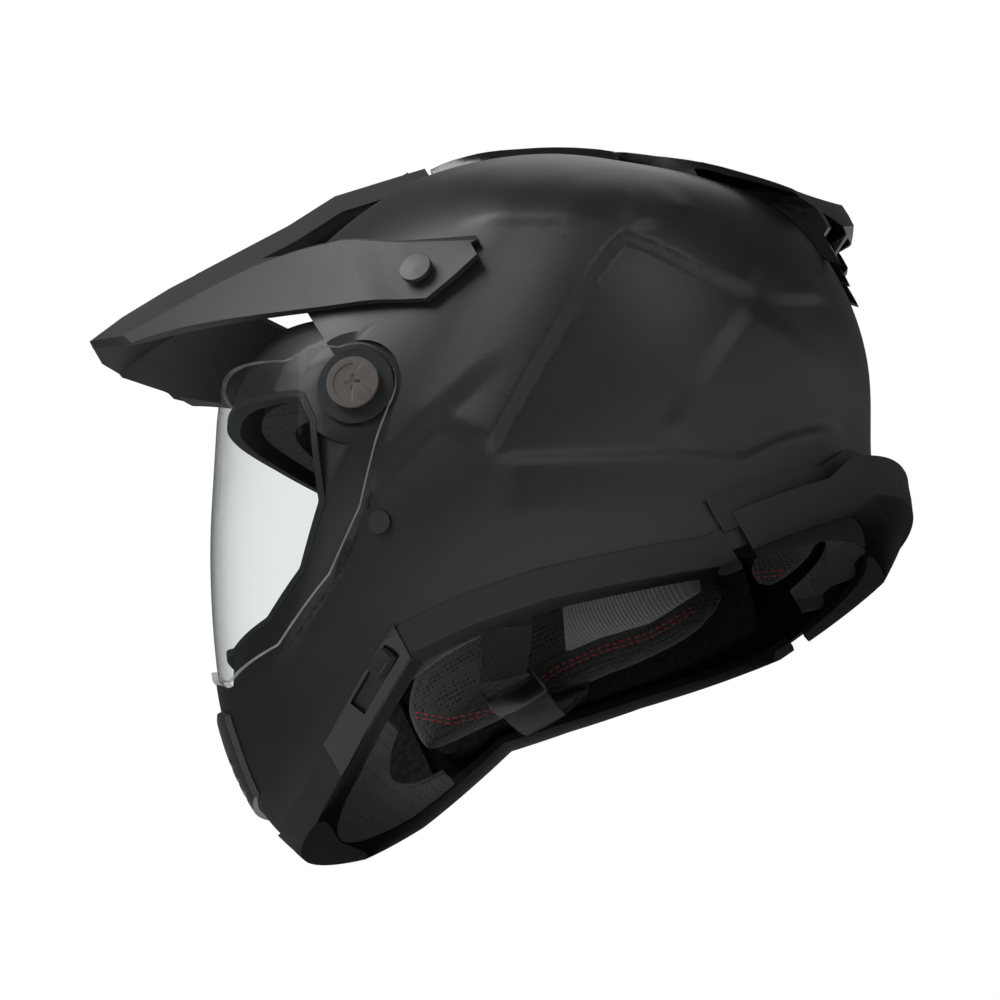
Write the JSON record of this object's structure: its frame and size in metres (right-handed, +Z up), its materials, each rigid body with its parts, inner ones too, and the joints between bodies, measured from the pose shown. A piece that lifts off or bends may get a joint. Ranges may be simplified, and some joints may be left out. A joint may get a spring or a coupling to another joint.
{
  "type": "dual sport helmet",
  "caption": "Full-face helmet with a sun peak on side screws, a hinged clear visor, an inner sun visor, crown and chin vents, a rear spoiler and a padded lining.",
  "frame": {"origin": "middle of the base box, on the table that the chin and the nape rest on", "axes": "+Z up off the table, the face towards -Y, the wearer's left towards +X"},
  "size_m": [0.2558, 0.3732, 0.277],
  "materials": {
    "shell": "matt black moulded shell",
    "trim": "satin black plastic",
    "rubber": "fine-textured black rubber",
    "grille": "grey ribbed plastic",
    "foam": "black bead foam",
    "lining": "black honeycomb mesh lining",
    "mesh": "black open mesh",
    "pivot": "grey-brown satin plastic",
    "peak": "matt dark grey plastic",
    "gloss": "gloss black plastic",
    "webbing": "black woven webbing",
    "buckle": "black plastic buckle",
    "clear": "clear polycarbonate",
    "tint": "smoke tinted polycarbonate",
    "tab": "red woven tab"
  },
  "bodies": {
    "shell": {"outer_shell": "shell", "chin_bar_plug_left": "trim", "chin_bar_plug_right": "trim", "base_trim": "rubber", "neck_skirt": "rubber", "exhaust_grille": "grille", "impact_liner": "foam", "crown_liner": "lining", "cheek_pad_left": "lining", "cheek_pad_right": "lining", "cheek_block_left": "foam", "cheek_block_right": "foam", "pivot_plate_left": "trim", "pivot_plate_right": "trim", "pivot_disc_left": "pivot", "pivot_disc_right": "pivot", "sun_visor_pin_left": "trim", "sun_visor_pin_right": "trim", "chin_liner": "foam", "chin_curtain": "mesh", "breath_deflector": "rubber", "neck_roll": "lining", "eye_port_seal": "rubber", "peak": "peak", "peak_screw_left": "trim", "peak_screw_right": "trim", "peak_screw_centre": "trim", "top_vent_cover": "gloss", "rear_spoiler": "gloss", "chin_vent_cover": "gloss", "lever_housing": "gloss", "chin_strap_left": "webbing", "chin_strap_right": "webbing", "buckle_body": "buckle"},
    "visor": {"visor": "clear"},
    "sun_visor": {"sun_visor": "tint"},
    "lever_knob": {"lever_knob": "trim"},
    "top_vent_slider": {"top_vent_slider": "trim"},
    "chin_vent_knob": {"chin_vent_knob": "trim"},
    "buckle_lever": {"buckle_lever": "buckle", "pull_tab": "tab"}
  },
  "joints": [
    {"name": "visor_hinge", "type": "hinge", "parent": "shell", "child": "visor", "pos_m": [0, -0.0442, 0.1438], "axis": [-1, 0, 0], "range_deg": [0, 27]},
    {"name": "sun_visor_hinge", "type": "hinge", "parent": "shell", "child": "sun_visor", "pos_m": [0, -0.0442, 0.1438], "axis": [1, 0, 0], "range_deg": [0, 42]},
    {"name": "sun_lever_slide", "type": "slide", "parent": "shell", "child": "lever_knob", "axis": [-0.4289, -0.8353, -0.344], "range_m": [0, 0.018]},
    {"name": "top_vent_slide", "type": "slide", "parent": "shell", "child": "top_vent_slider", "axis": [0, 0.8704, -0.4924], "range_m": [0, 0.01]},
    {"name": "chin_vent_slide", "type": "slide", "parent": "shell", "child": "chin_vent_knob", "axis": [1, 0, 0], "range_m": [0, 0.012]},
    {"name": "buckle_hinge", "type": "hinge", "parent": "shell", "child": "buckle_lever", "pos_m": [0.013, -0.052, 0.02], "axis": [0, -1, 0], "range_deg": [0, 50]}
  ],
  "couplings": [
    {"joint": "sun_lever_slide", "follows": "sun_visor_hinge", "m_per_rad": 0.024545}
  ]
}
